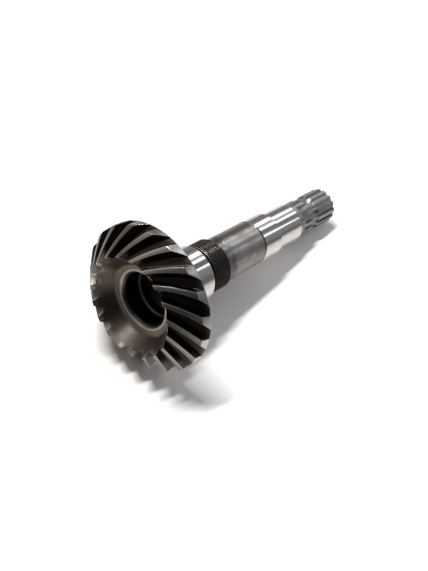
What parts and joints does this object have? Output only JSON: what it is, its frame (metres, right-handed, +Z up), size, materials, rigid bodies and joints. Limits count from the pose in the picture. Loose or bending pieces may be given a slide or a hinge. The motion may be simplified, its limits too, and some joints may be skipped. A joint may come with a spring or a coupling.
{
  "type": "spiral bevel gear shaft",
  "caption": "Spiral bevel gear with a dished, bored front, in one piece with a stepped, threaded shaft and a splined end.",
  "frame": {"origin": "on the floor under the middle of the part as it lies at rest on the rim of the gear and the end of the spline", "axes": "+X from the gear towards the spline along the floor, +Z up; the shaft's own axis leans down from the gear towards the spline in the XZ plane"},
  "size_m": [0.292, 0.1432, 0.1421],
  "materials": {
    "hardened_steel": "ground bright on the journals, satin on the turned lengths, dark and oiled in the tooth spaces"
  },
  "bodies": {
    "root": {"bevel_gear_shaft": "hardened_steel"}
  },
  "joints": []
}
